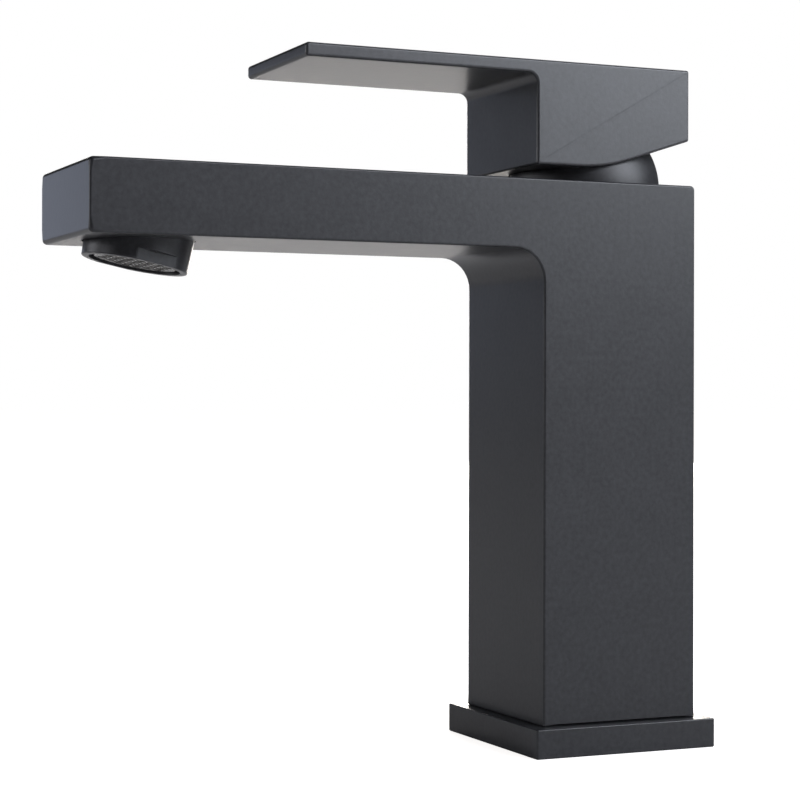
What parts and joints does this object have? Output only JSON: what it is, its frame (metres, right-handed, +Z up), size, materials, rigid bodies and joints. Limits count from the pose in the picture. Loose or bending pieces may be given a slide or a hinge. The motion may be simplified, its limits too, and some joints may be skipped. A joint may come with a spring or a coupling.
{
  "type": "bathroom mixer faucet",
  "caption": "Square single-lever basin mixer with a flat lever over a domed cover, a square column on a deck plate, a straight square spout and a tilted aerator.",
  "frame": {"origin": "middle of the deck face, under the column's axis", "axes": "+Z up along the column, the spout points along -Y, X across the tap"},
  "size_m": [0.05, 0.1597, 0.1695],
  "materials": {
    "black_coat": "matt black coating on cast brass",
    "black_coat_plate": "matt black coating",
    "black_coat_dome": "matt black coating, a little smoother",
    "black_coat_handle": "matt black coating on cast zinc",
    "black_coat_aerator": "satin black",
    "foam_rubber": "matt",
    "seal_rubber": "satin",
    "white_acetal": "satin",
    "ivory_acetal": "satin",
    "blue_acetal": "satin",
    "grey_acetal": "satin",
    "alumina": "lapped",
    "alumina_blue": "lapped",
    "turned_brass": "turned",
    "steel_pin": "ground",
    "screen_steel": "woven",
    "grey_plastic": "moulded",
    "index_cap": "moulded, half red and half blue dot"
  },
  "bodies": {
    "tap_body": {"body": "black_coat", "deck_plate": "black_coat_plate", "deck_gasket": "foam_rubber", "cartridge_base": "white_acetal", "inlet_seals": "seal_rubber", "disc_seal": "seal_rubber", "fixed_disc": "alumina", "cartridge_housing": "ivory_acetal", "housing_ring": "seal_rubber", "slip_washer": "white_acetal", "retaining_nut": "turned_brass", "dome_cover": "black_coat_dome", "aerator_housing": "black_coat_aerator", "aerator_seal": "seal_rubber", "aerator_screen": "screen_steel", "aerator_diffuser": "grey_plastic", "aerator_insert": "grey_plastic"},
    "turret": {"rotor": "grey_acetal", "rotor_ring": "seal_rubber", "pivot_pin": "steel_pin"},
    "lever": {"lever_spindle": "turned_brass", "handle": "black_coat_handle", "set_screw": "steel_pin", "screw_cap": "index_cap"},
    "slider": {"disc_carrier": "blue_acetal", "moving_disc": "alumina_blue"}
  },
  "joints": [
    {"name": "temperature_turn", "type": "hinge", "parent": "tap_body", "child": "turret", "pos_m": [0, 0.001, 0.1404], "axis": [0, 0, 1], "range_deg": [-50, 50]},
    {"name": "flow_lift", "type": "hinge", "parent": "turret", "child": "lever", "pos_m": [0, 0.001, 0.1404], "axis": [-1, 0, 0], "range_deg": [0, 25]},
    {"name": "disc_slide", "type": "slide", "parent": "turret", "child": "slider", "axis": [0, -1, 0], "range_m": [0, 0.0061]}
  ],
  "couplings": [
    {"joint": "disc_slide", "follows": "flow_lift", "m_per_rad": 0.013889}
  ]
}
